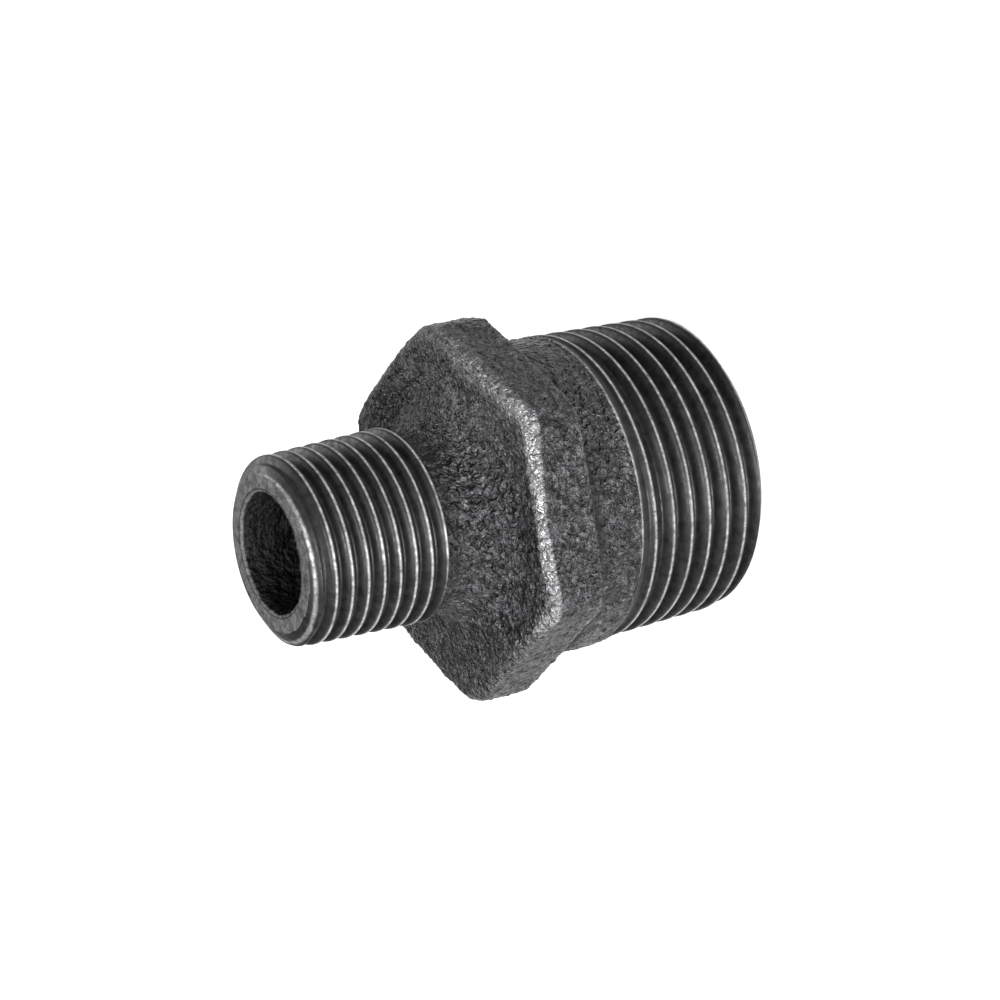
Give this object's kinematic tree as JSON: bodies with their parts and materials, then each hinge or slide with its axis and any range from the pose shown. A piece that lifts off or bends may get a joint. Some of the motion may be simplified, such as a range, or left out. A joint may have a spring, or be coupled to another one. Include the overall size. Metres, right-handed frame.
{
  "type": "reducing hex nipple",
  "caption": "Reducing hexagon nipple in malleable cast iron: a larger and a smaller external taper pipe thread, a hexagon between them for a spanner, and a bore right through.",
  "frame": {"origin": "centre of the large end face, on the bore's axis", "axes": "+Z along the bore from the large end to the small end; two corners of the hexagon lie on the X axis and two of its flats face +Y and -Y"},
  "size_m": [0.0394, 0.036, 0.0508],
  "materials": {
    "cast_iron_black": "black as-cast skin, with smooth machined threads and worn bright crests"
  },
  "bodies": {
    "root": {"nipple_body": "cast_iron_black"}
  },
  "joints": []
}
